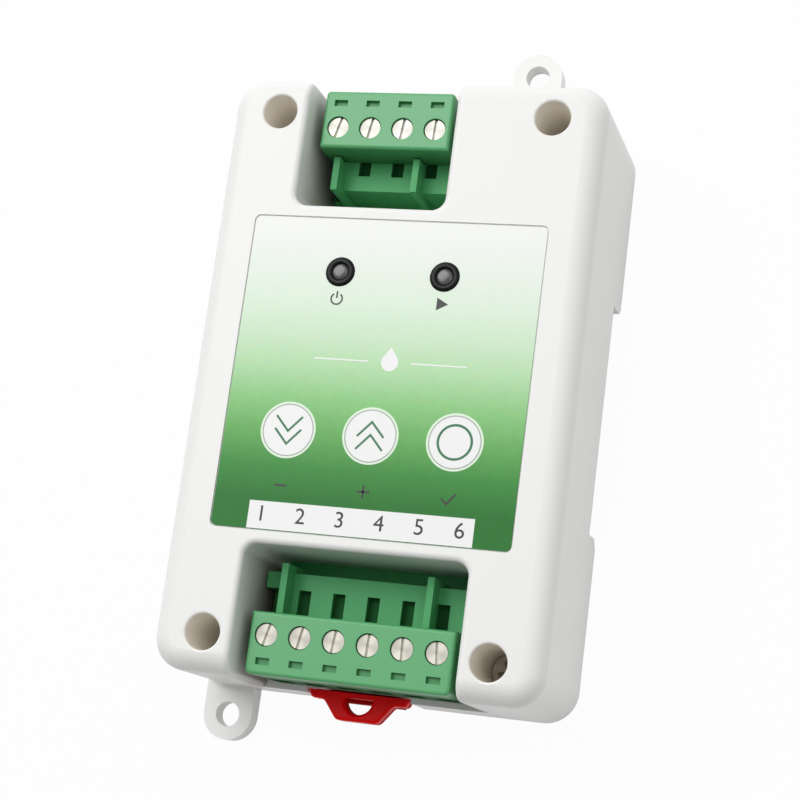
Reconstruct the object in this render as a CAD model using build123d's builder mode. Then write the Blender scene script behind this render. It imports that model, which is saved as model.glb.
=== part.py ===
from build123d import *
from math import tan, radians
import os

os.makedirs("parts", exist_ok=True)

# Leak detection controller for a 35 mm rail, in millimetres.
# The origin is the middle of the rail seat. +Z points out of the front, +Y to the four-way end.

# Case: outline at the back rim, then the draft that narrows it towards the front
case_width = 58.4
case_length = 91.0
case_depth = 26.5
case_corner = 5.0
case_draft = 0.8
wall = 2.0
front_wall = 2.2
front_edge_radius = 3.0

# Rail groove across the back
rail_width = 35.0
rail_fit = 0.2
groove_depth = 5.5
groove_floor = 1.2
groove_wall = 1.5
groove_round = 1.5
back_plate = 1.6
hook_reach = 1.3
hook_thickness = 2.0
hook_width = 9.0
hook_spacing = 26.0
hook_flange_gap = 1.5

# Circuit board
board_thickness = 1.6
board_gap = 0.6
board_top_gap = 0.1
lead_size = 0.5
lead_fit = 0.1

# Corner screws, their posts in the cover and their bosses in the base
screw_well_gap = 1.71
screw_end_gap = 5.95
screw_shank_radius = 1.4
screw_head_radius = 2.5
screw_head_height = 2.0
screw_length = 8.0
screw_slot_width = 0.7
screw_slot_depth = 1.1
thread_fit = 0.05
screw_pass_fit = 0.2
counterbore_radius = 2.65
counterbore_floor = 2.2
counterbore_rim = 0.3
post_radius = 4.0
boss_radius = 3.7
screw_slot_length = 3.25
screw_slot_turn = 20
pillar_radius = 1.6
pillar_wall_gap = 3.0
pillar_rail_gap = 8.0

# Pluggable terminals: places along Y are measured outwards from the middle of the case
pitch = 5.08
lower_poles = 6
upper_poles = 4
lower_centre_x = 0.0
upper_centre_x = -5.2
plug_inner = 35.4
plug_length = 9.1
plug_recess = 3.6
plug_lift = 0.4
lower_header_back = 28.8
upper_header_back = 30.9
header_mouth = 36.2
header_height = 7.8
header_wall = 1.1
header_back_wall = 1.6
header_end = 0.9
header_end_wall = 0.7
plug_gap = 0.3
tongue_gap = 0.4
notch_width = 1.9
notch_pitch = 5.3
notch_shift = 0.6
notch_inset = 2.4
corner_notch = 2.3
lower_corner_inset = 2.4
upper_corner_inset = 0
fin_thickness = 1.0
fin_height = 3.4
fin_overlap = 1.0
lower_fin_inset = 2.85
upper_fin_inset = 1.95
plug_edge = 0.5
lower_plug_corner = 0.9
upper_plug_corner = 0.6

# Terminal screws, wire clamps and contacts
terminal_screw_back = 3.3
terminal_head_radius = 1.58
terminal_head_height = 1.6
terminal_head_sink = 0.35
terminal_hole_fit = 0.15
terminal_shank_radius = 1.0
terminal_slot_width = 0.45
terminal_slot_depth = 0.45
terminal_slot_turn = 76
terminal_slot_step = 4
clamp_width = 3.6
clamp_depth = 3.2
clamp_height = 5.8
clamp_wall = 0.7
clamp_roof = 1.2
clamp_fit = 0.2
clamp_lift = 1.8
screw_reach = 1.5
wire_entry_width = 3.4
wire_entry_height = 3.8
test_slot_width = 2.1
test_slot_length = 1.0
test_slot_depth = 0.7
test_slot_back = 7.15
pin_size = 1.0
pin_tail = 1.1
pin_leg_inset = 0.3
pin_tip_gap = 0.2
contact_gap = 0.1
contact_wall = 0.4
socket_fit = 0.2
socket_lip = 0.8

# Wells in the cover round the two terminals
well_gap = 0.55
lower_well_inner = 26.1
upper_well_inner = 25.0
well_corner = 2.0
well_rim_radius = 0.8
skirt_wall = 1.6

# Label film in its recess
label_width = 44.55
label_top = 22.95
label_bottom = -24.1
label_recess = 0.35
label_thickness = 0.25
label_fit = 0.2
label_corner = 0.8

# Indicator lamps
lamp_spacing = 15.9
lamp_y = 14.8
lamp_holder_radius = 2.1
lamp_holder_proud = 0.2
lamp_radius = 1.1
lamp_length = 5.0
lamp_sink = 0.3
lamp_fit = 0.15
lamp_lead_spacing = 1.27

# Keys under the film
key_spacing = 12.5
key_y = -9.35
key_body = 6.0
key_body_height = 3.5
key_body_round = 0.8
key_head_radius = 3.3
key_head_height = 1.5
key_stem_radius = 1.65
key_travel = 0.3
key_film_gap = 0.05
key_clearance = 0.4
key_stem_fit = 0.2
key_stem_depth = 1.2
key_foot_width = 0.8
key_foot_length = 1.0
key_foot_height = 0.3

# Rail clip
clip_x = -2.2
clip_thickness = 2.6
clip_lift = 1.4
clip_fit = 0.3
clip_bar_width = 15.8
clip_bar_taper = 0.5
clip_bar_round = 0.8
clip_proud = 0.55
clip_recess_wall = 1.0
clip_nose = 1.2
clip_grip_drop = 0.2
clip_neck_inset = 2.2
clip_grip_thickness = 2.6
clip_handle_root = 10.9
clip_handle_tip = 6.4
clip_handle_length = 2.9
clip_hole_width = 4.4
clip_hole_length = 2.3
clip_corner = 1.2
clip_edge = 0.5
clip_hole_edge = 0.5
clip_hole_start = 0.5
clip_finger_width = 1.6
clip_finger_slot = 1.2
clip_finger_length = 15.0
clip_finger_start = 8.0
clip_bump = 0.8
clip_bump_length = 2.0
clip_travel = 3.0
channel_wall = 1.5
channel_roof = 1.0
channel_lip = 2.0
channel_lip_height = 1.1

# Mounting ears
ear_radius = 3.9
ear_hole_radius = 1.9
ear_thickness = 3.0
ear_root_round = 1.0
lower_ear_x = -24.3
lower_ear_y = -49.85
upper_ear_x = 12.4
upper_ear_y = 55.55

# Parts on the board
relay_edge_gap = 1.5
relay_width = 5.0
relay_length = 28.0
relay_headroom = 1.0
relay_round = 0.3
capacitor_x = -12.0
capacitor_y = 3.0
capacitor_radius = 4.0
capacitor_headroom = 4.0
capacitor_round = 0.5
capacitor_groove_z = 2.2
capacitor_lead_spacing = 3.5
chip_lift = 0.2
chip_height = 1.6
chip_leg_pitch = 1.27
chip_leg_width = 0.45
chip_foot = 0.9
controller_x = 1.0
controller_y = 3.0
controller_length = 13.0
controller_width = 7.5
driver_x = -12.0
driver_y = -18.8
driver_length = 5.2
driver_width = 3.9
regulator_x = 14.0
regulator_y = 3.0
regulator_length = 6.5
regulator_width = 6.1
regulator_height = 2.3
regulator_tab = 0.6
regulator_tab_width = 5.2
regulator_tab_reach = 1.2
regulator_leg_width = 0.8
regulator_leg_x = 2.3
crystal_x = 0.0
crystal_y = -18.8
crystal_length = 11.0
crystal_width = 4.6
crystal_height = 3.5
crystal_round = 0.6
diode_x = 13.0
diode_y = -18.8
diode_spacing = 4.0
diode_length = 2.8
diode_width = 1.8
diode_height = 1.2
diode_foot = 0.3
diode_foot_reach = 0.6
diode_foot_width = 0.6
resistor_x = 22.0
resistor_gap = 2.0
resistor_step_x = 3.5
resistor_step_y = 2.4
resistor_length = 2.0
resistor_width = 1.25
resistor_height = 0.5

# Levels worked out from the sizes above
back_z = -groove_depth
draft_slope = tan(radians(case_draft))
front_z = back_z + case_depth
board_z = groove_floor
board_top = board_z + board_thickness
part_z = board_top + board_top_gap
ceiling_z = front_z - front_wall
groove_half = rail_width / 2 + rail_fit / 2
seat_z = part_z + counterbore_floor
plug_top = front_z - plug_recess
plug_bottom = board_top + plug_lift
plug_outer = plug_inner + plug_length
header_top = board_top + header_height
pin_z = board_top + header_height / 2
label_z = front_z - label_recess
relay_height = ceiling_z - board_top - relay_headroom
capacitor_height = ceiling_z - board_top - capacitor_headroom

# Board outline, narrowed at both ends to pass the screw bosses
board_half = case_width / 2 - wall - (board_top - back_z) * draft_slope - board_gap
board_end = case_length / 2 - wall - (board_top - back_z) * draft_slope - board_gap
screw_x = lower_poles * pitch / 2 + header_end + well_gap + screw_well_gap + counterbore_radius
screw_y = case_length / 2 - screw_end_gap
end_half = screw_x - boss_radius - board_gap
board_shoulder = screw_y - boss_radius - board_gap
relay_x = board_half - relay_width / 2 - relay_edge_gap
resistor_y = -(relay_length / 2 + resistor_gap + resistor_step_y + resistor_width / 2)


def case_outline(z, inset=0.0):
    """Rounded outline of the case at height z, drawn in from the outer face by inset."""
    narrow = (z - back_z) * draft_slope + inset
    RectangleRounded(case_width - 2 * narrow, case_length - 2 * narrow, case_corner - narrow)


def well_span(poles):
    """Half the width of the well round a terminal with this many poles."""
    return poles * pitch / 2 + header_end + well_gap


def well_outline(poles, centre_x, side, inner, grow=0.0, reach=None):
    """Plan of a well, open towards its end of the case and rounded at the two inner corners."""
    width = 2 * (well_span(poles) + grow)
    near = inner - grow
    far = case_length / 2 + 1 if reach is None else reach
    radius = well_corner + grow
    with Locations((centre_x, side * (near + far) / 2)):
        RectangleRounded(width, far - near, radius)
    with Locations((centre_x, side * (near + radius + far) / 2)):
        Rectangle(width, far - near - radius)


def well_rim(shape, poles, centre_x, side, inner):
    """Outer edges of a well: round its front rim and down its corners at the end face."""
    half = well_span(poles) - 0.02
    rim = []
    for edge in shape.edges():
        middle = edge.center()
        box = edge.bounding_box()
        inside = side * middle.Y > inner - 0.02 and abs(middle.X - centre_x) < half + 0.04
        on_front = box.min.Z > front_z - 0.01 and side * middle.Y < case_length / 2
        at_side = abs(middle.X - centre_x) > half
        down_end = at_side and side * middle.Y > upper_well_inner + well_corner * 4 and box.size.Z > 0.5
        if inside and (on_front or down_end) and side * middle.Y > 0:
            rim.append(edge)
    return rim


def block(centre_x, width, side, near, far, low, high, mode=Mode.ADD):
    """Box between two distances from the middle of the case and two heights."""
    with Locations((centre_x, side * (near + far) / 2, (low + high) / 2)):
        Box(width, far - near, high - low, mode=mode)


def pole_places(poles, centre_x):
    """X of every pole of a terminal."""
    return [centre_x + (i - (poles - 1) / 2) * pitch for i in range(poles)]


def header_shape(poles, centre_x, side, back, fin_inset, corner_inset):
    """Socket moulding on the board: an open box with a notched top and two fins."""
    width = poles * pitch + 2 * header_end
    cavity_back = back + header_back_wall
    leg = back + pin_leg_inset
    block(centre_x, width, side, back, header_mouth, board_top, header_top)
    block(
        centre_x,
        width - 2 * header_end_wall,
        side,
        cavity_back,
        header_mouth,
        board_top + header_wall,
        header_top - header_wall,
        Mode.SUBTRACT,
    )
    near = back + notch_inset
    for i in range(poles - 1):
        x = centre_x + notch_shift + (i - poles / 2 + 1) * notch_pitch
        low = header_top - header_wall
        block(x, notch_width, side, near, header_mouth, low, header_top, Mode.SUBTRACT)
    right_fin = x - (notch_width + fin_thickness) / 2
    x = centre_x - (width - corner_notch) / 2
    near = back + corner_inset
    low = board_top + header_wall
    block(x, corner_notch, side, near, header_mouth, low, header_top, Mode.SUBTRACT)
    for x in pole_places(poles, centre_x):
        arm_low = pin_z - pin_size / 2
        arm_high = pin_z + pin_size / 2
        block(x, pin_size, side, leg, cavity_back, arm_low, arm_high, Mode.SUBTRACT)
        block(x, pin_size, side, leg, leg + pin_size, board_top, arm_low, Mode.SUBTRACT)
    for x in (centre_x - poles * pitch / 2 + fin_inset, right_fin):
        high = header_top + fin_height
        near = back - fin_overlap
        block(x, fin_thickness, side, near, plug_inner - plug_gap, header_top, high)
        block(x, fin_thickness, side, near, back, board_top, header_top)


def pin_shapes(poles, centre_x, side, back):
    """Right-angled square pins: an arm into the socket and a leg down through the board."""
    leg = back + pin_leg_inset
    arm_low = pin_z - pin_size / 2
    for x in pole_places(poles, centre_x):
        tip = header_mouth - pin_tip_gap
        block(x, pin_size, side, leg, tip, arm_low, arm_low + pin_size)
        block(x, pin_size, side, leg, leg + pin_size, board_z - pin_tail, arm_low)


def cage_level():
    """Underside of the wire clamps."""
    return plug_bottom + clamp_lift


def plug_shape(plug, poles, centre_x, side, back, corner):
    """Plug moulding: body, lip over the socket and tongue, hollowed for its metal parts."""
    width = poles * pitch
    tongue_width = width + 2 * (header_end - header_end_wall - plug_gap)
    body = header_mouth + plug_gap
    tongue_tip = back + header_back_wall + tongue_gap
    tongue_low = board_top + header_wall + tongue_gap
    tongue_high = header_top - header_wall - tongue_gap
    cage = plug_inner + terminal_screw_back - clamp_depth / 2 - clamp_fit
    cage_end = cage + clamp_depth + 2 * clamp_fit
    cage_low = cage_level() - clamp_fit
    cage_high = cage_level() + clamp_height + clamp_fit
    entry_z = cage_level() + clamp_wall + (clamp_height - clamp_wall - clamp_roof) / 2
    sleeve = pin_size + 2 * (contact_gap + contact_wall + socket_fit)
    block(centre_x, width, side, body, plug_outer, plug_bottom, header_top + plug_gap)
    block(centre_x, width, side, plug_inner, plug_outer, header_top + plug_gap, plug_top)
    upright = plug.edges().filter_by(Axis.Z)
    fillet([e for e in upright if abs(abs(e.center().Y) - plug_outer) < 0.01], corner)
    fillet(plug.faces().sort_by(Axis.Z)[-1].edges(), plug_edge)
    block(centre_x, tongue_width, side, tongue_tip, body, tongue_low, tongue_high)
    for x in pole_places(poles, centre_x):
        screw_y = side * (plug_inner + terminal_screw_back)
        block(x, clamp_width + 2 * clamp_fit, side, cage, cage_end, cage_low, cage_high, Mode.SUBTRACT)
        block(
            x,
            wire_entry_width,
            side,
            cage_end,
            plug_outer,
            entry_z - wire_entry_height / 2,
            entry_z + wire_entry_height / 2,
            Mode.SUBTRACT,
        )
        block(
            x,
            sleeve,
            side,
            tongue_tip + socket_lip,
            cage,
            pin_z - sleeve / 2,
            pin_z + sleeve / 2,
            Mode.SUBTRACT,
        )
        mouth = pin_size + 2 * socket_fit
        block(
            x,
            mouth,
            side,
            tongue_tip,
            tongue_tip + socket_lip,
            pin_z - mouth / 2,
            pin_z + mouth / 2,
            Mode.SUBTRACT,
        )
        with Locations((x, screw_y, (plug_top + cage_high) / 2)):
            Cylinder(
                terminal_head_radius + terminal_hole_fit,
                plug_top - cage_high,
                mode=Mode.SUBTRACT,
            )
        near = plug_inner + test_slot_back - test_slot_length / 2
        low = plug_top - test_slot_depth
        block(x, test_slot_width, side, near, near + test_slot_length, low, plug_top, Mode.SUBTRACT)


def terminal_screw_shapes(poles, centre_x, side):
    """Slotted clamp screws, each turned a little differently."""
    head_top = plug_top - terminal_head_sink
    shank_low = cage_level() + clamp_height - clamp_roof - screw_reach
    shank_high = head_top - terminal_head_height
    for i, x in enumerate(pole_places(poles, centre_x)):
        y = side * (plug_inner + terminal_screw_back)
        with Locations((x, y, head_top - terminal_head_height / 2)):
            Cylinder(terminal_head_radius, terminal_head_height)
        with Locations((x, y, (shank_low + shank_high) / 2)):
            Cylinder(terminal_shank_radius, shank_high - shank_low)
        with Locations(Location((x, y, head_top), (0, 0, terminal_slot_turn + terminal_slot_step * i))):
            Box(
                3 * terminal_head_radius,
                terminal_slot_width,
                2 * terminal_slot_depth,
                mode=Mode.SUBTRACT,
            )


def clamp_shapes(poles, centre_x, side, back):
    """Wire clamps: a cage open to the wire, a threaded roof and a sleeve that grips the pin."""
    near = plug_inner + terminal_screw_back - clamp_depth / 2
    far = near + clamp_depth
    low = cage_level()
    high = low + clamp_height
    inner = clamp_width - 2 * clamp_wall
    outer_sleeve = pin_size / 2 + contact_gap + contact_wall
    inner_sleeve = pin_size / 2 + contact_gap
    tip = back + header_back_wall + tongue_gap + socket_lip + socket_fit
    for x in pole_places(poles, centre_x):
        y = side * (plug_inner + terminal_screw_back)
        block(x, clamp_width, side, near, far, low, high)
        block(x, inner, side, near + contact_wall, far, low + clamp_wall, high - clamp_roof, Mode.SUBTRACT)
        with Locations((x, y, high - clamp_roof / 2)):
            Cylinder(terminal_shank_radius + thread_fit, clamp_roof, mode=Mode.SUBTRACT)
        block(x, 2 * outer_sleeve, side, tip, near, pin_z - outer_sleeve, pin_z + outer_sleeve)
        block(
            x,
            2 * inner_sleeve,
            side,
            tip,
            near,
            pin_z - inner_sleeve,
            pin_z + inner_sleeve,
            Mode.SUBTRACT,
        )


def through_hole(x, y, size):
    """Square hole through the board for a lead of this size."""
    with Locations((x, y, board_z + board_thickness / 2)):
        Box(size + 2 * lead_fit, size + 2 * lead_fit, board_thickness, mode=Mode.SUBTRACT)


def leads(places, size, high, low=board_z):
    """Square leads that stand at these places between two heights."""
    for x, y in places:
        with Locations((x, y, (low + high) / 2)):
            Box(size, size, high - low)


def chip_shape(x, y, length, width):
    """Chip body with a row of flat legs along both long sides."""
    with Locations((x, y, board_top + chip_lift + chip_height / 2)):
        Box(length, width, chip_height)
    count = int(length / chip_leg_pitch)
    rise = chip_lift + chip_height / 4
    for side in (-1, 1):
        for i in range(count):
            leg_x = x + (i - (count - 1) / 2) * chip_leg_pitch
            with Locations((leg_x, y + side * width / 2, board_top + rise / 2)):
                Box(chip_leg_width, 2 * chip_foot, rise)


wells = [
    (lower_poles, lower_centre_x, -1, lower_well_inner),
    (upper_poles, upper_centre_x, 1, upper_well_inner),
]
screw_places = [(x * screw_x, y * screw_y) for x in (-1, 1) for y in (-1, 1)]
lamp_places = [(-lamp_spacing / 2, lamp_y), (lamp_spacing / 2, lamp_y)]
key_places = [(-key_spacing, key_y), (0, key_y), (key_spacing, key_y)]

# Front cover: a deep shell with a skirted well round each terminal and four screw posts
with BuildPart() as front_cover:
    with BuildSketch(Plane.XY.offset(part_z)):
        case_outline(part_z)
    extrude(amount=front_z - part_z, taper=case_draft)
    fillet(front_cover.faces().sort_by(Axis.Z)[-1].edges(), front_edge_radius)
    with BuildSketch(Plane.XY.offset(part_z)):
        case_outline(part_z, wall)
    extrude(amount=ceiling_z - part_z, taper=case_draft, mode=Mode.SUBTRACT)
    for poles, centre_x, side, inner in wells:
        with BuildSketch(Plane.XY.offset(part_z)):
            well_outline(poles, centre_x, side, inner, skirt_wall, case_length / 2 - wall)
        extrude(amount=ceiling_z - part_z + front_wall / 2)
    with BuildSketch(Plane.XY.offset(part_z)):
        with Locations(*screw_places):
            Circle(post_radius)
    extrude(amount=ceiling_z - part_z + front_wall / 2)
    for poles, centre_x, side, inner in wells:
        with BuildSketch(Plane.XY.offset(part_z)):
            well_outline(poles, centre_x, side, inner)
        extrude(amount=front_z - part_z, mode=Mode.SUBTRACT)
    for poles, centre_x, side, inner in wells:
        fillet(well_rim(front_cover, poles, centre_x, side, inner), well_rim_radius)
    with Locations(Plane.XY.offset(front_z)):
        with Locations(*screw_places):
            CounterBoreHole(
                radius=screw_shank_radius + screw_pass_fit,
                counter_bore_radius=counterbore_radius,
                counter_bore_depth=front_z - seat_z,
                depth=case_depth,
            )
    rims = front_cover.edges().filter_by(GeomType.CIRCLE).filter_by_position(Axis.Z, front_z, front_z)
    fillet([e for e in rims if abs(e.radius - counterbore_radius) < 0.01], counterbore_rim)
    label_height = label_top - label_bottom
    label_mid = (label_top + label_bottom) / 2
    with BuildSketch(Plane.XY.offset(label_z)):
        with Locations((0, label_mid)):
            RectangleRounded(
                label_width + 2 * label_fit,
                label_height + 2 * label_fit,
                label_corner + label_fit,
            )
    extrude(amount=label_recess, mode=Mode.SUBTRACT)
    with BuildSketch(Plane.XY.offset(ceiling_z)):
        with Locations(*lamp_places):
            Circle(lamp_holder_radius + lamp_fit)
        with Locations(*key_places):
            Circle(key_head_radius + key_clearance)
    extrude(amount=front_wall, mode=Mode.SUBTRACT)
front_cover.part.label = "front_cover"
export_step(front_cover.part, "parts/front_cover.step")

# Rear base: a shallow tray with the rail groove, the clip channel, four bosses and two ears
case_end = case_length / 2
tray_end = case_end - wall
channel_half = clip_bar_width / 2 + clip_fit
channel_top = back_z + clip_lift + clip_thickness + clip_fit
bump_pocket = clip_bump
finger_tip = -(groove_half + clip_finger_start)
with BuildPart() as rear_base:
    with BuildSketch(Plane.XY.offset(back_z)):
        case_outline(back_z)
    extrude(amount=part_z - back_z, taper=case_draft)
    for centre_x, centre_y in ((lower_ear_x, lower_ear_y), (upper_ear_x, upper_ear_y)):
        side = 1 if centre_y > 0 else -1
        with BuildSketch(Plane.XY.offset(back_z)):
            with Locations((centre_x, centre_y)):
                Circle(ear_radius)
            root = abs(centre_y) - case_end + case_corner
            with Locations((centre_x, centre_y - side * root / 2)):
                Rectangle(2 * ear_radius, root)
        extrude(amount=ear_thickness)
    ear_top = back_z + ear_thickness
    ear_faces = [f for f in rear_base.faces() if abs(f.center().Z - ear_top) < 0.01]
    ear_edges = ShapeList(e for f in ear_faces for e in f.edges())
    fillet([e for e in ear_edges if abs(e.center().Y) < case_end], ear_root_round)
    with BuildSketch(Plane.XY.offset(board_z)):
        case_outline(board_z, wall)
    extrude(amount=part_z - board_z, mode=Mode.SUBTRACT)
    for side in (-1, 1):
        near = groove_half + groove_wall
        with BuildSketch(Plane.XY.offset(back_z + back_plate)):
            case_outline(back_z + back_plate, wall)
            with Locations((0, side * (near - case_length / 2))):
                Rectangle(case_width, case_length, mode=Mode.SUBTRACT)
        extrude(amount=board_z - back_z - back_plate, mode=Mode.SUBTRACT)
    with BuildSketch(Plane.YZ):
        with BuildLine():
            Polyline(
                (-groove_half - groove_round, back_z),
                (-groove_half, back_z + groove_round),
                (-groove_half, 0),
                (groove_half, 0),
                (groove_half, back_z + groove_round),
            )
            RadiusArc(
                (groove_half, back_z + groove_round),
                (groove_half + groove_round, back_z),
                -groove_round,
            )
            Line((groove_half + groove_round, back_z), (-groove_half - groove_round, back_z))
        make_face()
    extrude(amount=case_width, both=True, mode=Mode.SUBTRACT)
    # Fixed hooks that hold the upper edge of the rail
    hook_z = -hook_flange_gap - hook_thickness
    for hook_x in (-hook_spacing / 2, hook_spacing / 2):
        with BuildSketch(Plane.YZ.offset(hook_x)):
            with BuildLine():
                Polyline(
                    (groove_half + groove_wall, back_z),
                    (groove_half + groove_wall, -hook_flange_gap),
                    (groove_half - hook_reach, -hook_flange_gap),
                    (groove_half - hook_reach, hook_z + hook_reach),
                    (groove_half, hook_z),
                    (groove_half, back_z),
                    close=True,
                )
            make_face()
        extrude(amount=hook_width / 2, both=True)
    # Channel of the rail clip, open to the groove, to the end face and to the back
    with BuildSketch(Plane.XY.offset(back_z)):
        with Locations((clip_x, -(groove_half + tray_end) / 2)):
            Rectangle(2 * (channel_half + bump_pocket + channel_wall), tray_end - groove_half)
    extrude(amount=channel_top + channel_roof - back_z)
    with BuildSketch(Plane.XY.offset(back_z + channel_lip_height)):
        with Locations((clip_x, -case_end)):
            Rectangle(2 * channel_half, 2 * (case_end - groove_half + groove_round))
        pocket_length = clip_bump_length + clip_travel + 2 * clip_fit
        pocket_y = finger_tip - clip_bump_length / 2 - clip_travel / 2
        with Locations((clip_x, pocket_y)):
            Rectangle(2 * (channel_half + bump_pocket), pocket_length)
    extrude(amount=channel_top - back_z - channel_lip_height, mode=Mode.SUBTRACT)
    with BuildSketch(Plane.XY.offset(back_z)):
        with Locations((clip_x, -case_end)):
            Rectangle(2 * (channel_half - channel_lip), 2 * (case_end - groove_half + groove_round))
    extrude(amount=channel_lip_height, mode=Mode.SUBTRACT)
    # Recess in the end face over the clip's bar
    with BuildSketch(Plane.XY.offset(back_z)):
        with Locations((clip_x, -case_end)):
            Rectangle(2 * channel_half, 2 * (wall - clip_recess_wall))
    extrude(amount=part_z - back_z, mode=Mode.SUBTRACT)
    # Screw bosses and board pillars
    with BuildSketch(Plane.XY.offset(back_z)):
        with Locations(*screw_places):
            Circle(boss_radius)
    extrude(amount=part_z - back_z)
    with BuildSketch(Plane.XY.offset(back_z + back_plate)):
        with Locations(*screw_places):
            Circle(screw_shank_radius + thread_fit)
    extrude(amount=part_z - back_z, mode=Mode.SUBTRACT)
    pillar_x = case_width / 2 - wall - pillar_wall_gap
    pillar_y = groove_half + groove_wall + pillar_rail_gap
    with BuildSketch(Plane.XY.offset(back_z)):
        with GridLocations(2 * pillar_x, 2 * pillar_y, 2, 2):
            Circle(pillar_radius)
    extrude(amount=board_z - back_z)
    with Locations(Plane.XY.offset(back_z + ear_thickness)):
        with Locations((lower_ear_x, lower_ear_y), (upper_ear_x, upper_ear_y)):
            Hole(ear_hole_radius, depth=ear_thickness)
rear_base.part.label = "rear_base"
export_step(rear_base.part, "parts/rear_base.step")

# Red rail clip: nose, plate with two sprung side fingers, a neck that rises from the
# plate's end, and the bar on it, whose handle has a finger hole
clip_low = back_z + clip_lift
nose_y = -(groove_half - clip_nose)
grip_high = part_z - clip_grip_drop
grip_low = grip_high - clip_grip_thickness
bar_inner = -(tray_end + clip_recess_wall + clip_fit)
bar_y = -(case_end + clip_proud)
bar_half = clip_bar_width / 2
bar_half_outer = bar_half - clip_bar_taper
with BuildPart() as rail_clip:
    with BuildSketch(Plane.XY.offset(clip_low)):
        with Locations((clip_x, (nose_y + bar_inner) / 2)):
            Rectangle(clip_bar_width, nose_y - bar_inner)
        for side in (-1, 1):
            edge = clip_x + side * bar_half
            slot_x = edge - side * (clip_finger_width + clip_finger_slot / 2)
            with Locations((slot_x, finger_tip - clip_finger_length / 2)):
                Rectangle(clip_finger_slot, clip_finger_length, mode=Mode.SUBTRACT)
            with Locations((edge - side * clip_finger_width, finger_tip + clip_finger_slot / 2)):
                Rectangle(2 * clip_finger_width + clip_finger_slot, clip_finger_slot, mode=Mode.SUBTRACT)
            with BuildLine():
                Polyline(
                    (edge, finger_tip),
                    (edge + side * clip_bump, finger_tip - clip_bump_length / 4),
                    (edge + side * clip_bump, finger_tip - clip_bump_length * 3 / 4),
                    (edge, finger_tip - clip_bump_length),
                    close=True,
                )
            make_face()
    extrude(amount=clip_thickness)
    nose_edges = rail_clip.faces().sort_by(Axis.Y)[-1].edges().group_by(Axis.Z)[0]
    chamfer(nose_edges, clip_nose * 0.8)
    with BuildSketch(Plane.XY.offset(clip_low)):
        with Locations((clip_x, (bar_inner + bar_y) / 2)):
            Rectangle(2 * (bar_half - clip_neck_inset), bar_inner - bar_y)
    extrude(amount=grip_low - clip_low)
    with BuildSketch(Plane.XY.offset(grip_low)) as grip_outline:
        with BuildLine():
            Polyline(
                (clip_x - bar_half, bar_inner),
                (clip_x - bar_half_outer, bar_y),
                (clip_x - clip_handle_root / 2, bar_y),
                (clip_x - clip_handle_tip / 2, bar_y - clip_handle_length),
                (clip_x + clip_handle_tip / 2, bar_y - clip_handle_length),
                (clip_x + clip_handle_root / 2, bar_y),
                (clip_x + bar_half_outer, bar_y),
                (clip_x + bar_half, bar_inner),
                close=True,
            )
        make_face()
        tip, mid = grip_outline.vertices().group_by(Axis.Y)[:2]
        fillet(tip + [v for v in mid if abs(v.X - clip_x) < bar_half_outer - 0.1], clip_corner)
        ends = [v for v in grip_outline.vertices() if abs(abs(v.X - clip_x) - bar_half_outer) < 0.01]
        fillet(ends, clip_bar_round)
        hole_y = bar_y + clip_hole_start
        with BuildLine():
            ThreePointArc(
                (clip_x - clip_hole_width / 2, hole_y),
                (clip_x, hole_y - clip_hole_length),
                (clip_x + clip_hole_width / 2, hole_y),
            )
            Line(
                (clip_x + clip_hole_width / 2, hole_y),
                (clip_x - clip_hole_width / 2, hole_y),
            )
        make_face(mode=Mode.SUBTRACT)
    extrude(amount=clip_grip_thickness)
    top = rail_clip.faces().sort_by(Axis.Z)[-1]
    fillet(top.inner_wires()[0].edges(), clip_hole_edge)
    top = rail_clip.faces().sort_by(Axis.Z)[-1]
    fillet([e for e in top.outer_wire().edges() if e.center().Y < bar_inner - 0.01], clip_edge)
rail_clip.part.label = "rail_clip"
export_step(rail_clip.part, "parts/rail_clip.step")

# Label film in the front recess, pierced for the two lamps
with BuildPart() as label_film:
    with BuildSketch(Plane.XY.offset(label_z)):
        with Locations((0, label_mid)):
            RectangleRounded(label_width, label_height, label_corner)
        with Locations(*lamp_places):
            Circle(lamp_holder_radius + lamp_fit, mode=Mode.SUBTRACT)
    extrude(amount=label_thickness)
label_film.part.label = "label_film"
export_step(label_film.part, "parts/label_film.step")

# Headers, pins, plugs and their metal parts, one set at each end
terminals = [
    ("lower", lower_poles, lower_centre_x, -1, lower_header_back),
    ("upper", upper_poles, upper_centre_x, 1, upper_header_back),
]
fin_insets = {"lower": lower_fin_inset, "upper": upper_fin_inset}
corner_insets = {"lower": lower_corner_inset, "upper": upper_corner_inset}
plug_corners = {"lower": lower_plug_corner, "upper": upper_plug_corner}
for name, poles, centre_x, side, back in terminals:
    with BuildPart() as header:
        header_shape(poles, centre_x, side, back, fin_insets[name], corner_insets[name])
    header.part.label = name + "_header"
    export_step(header.part, "parts/" + name + "_header.step")
    with BuildPart() as pins:
        pin_shapes(poles, centre_x, side, back)
    pins.part.label = name + "_header_pins"
    export_step(pins.part, "parts/" + name + "_header_pins.step")
    with BuildPart() as plug:
        plug_shape(plug, poles, centre_x, side, back, plug_corners[name])
    plug.part.label = name + "_plug"
    export_step(plug.part, "parts/" + name + "_plug.step")
    with BuildPart() as screws:
        terminal_screw_shapes(poles, centre_x, side)
    screws.part.label = name + "_plug_screws"
    export_step(screws.part, "parts/" + name + "_plug_screws.step")
    with BuildPart() as clamps:
        clamp_shapes(poles, centre_x, side, back)
    clamps.part.label = name + "_plug_clamps"
    export_step(clamps.part, "parts/" + name + "_plug_clamps.step")

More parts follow.
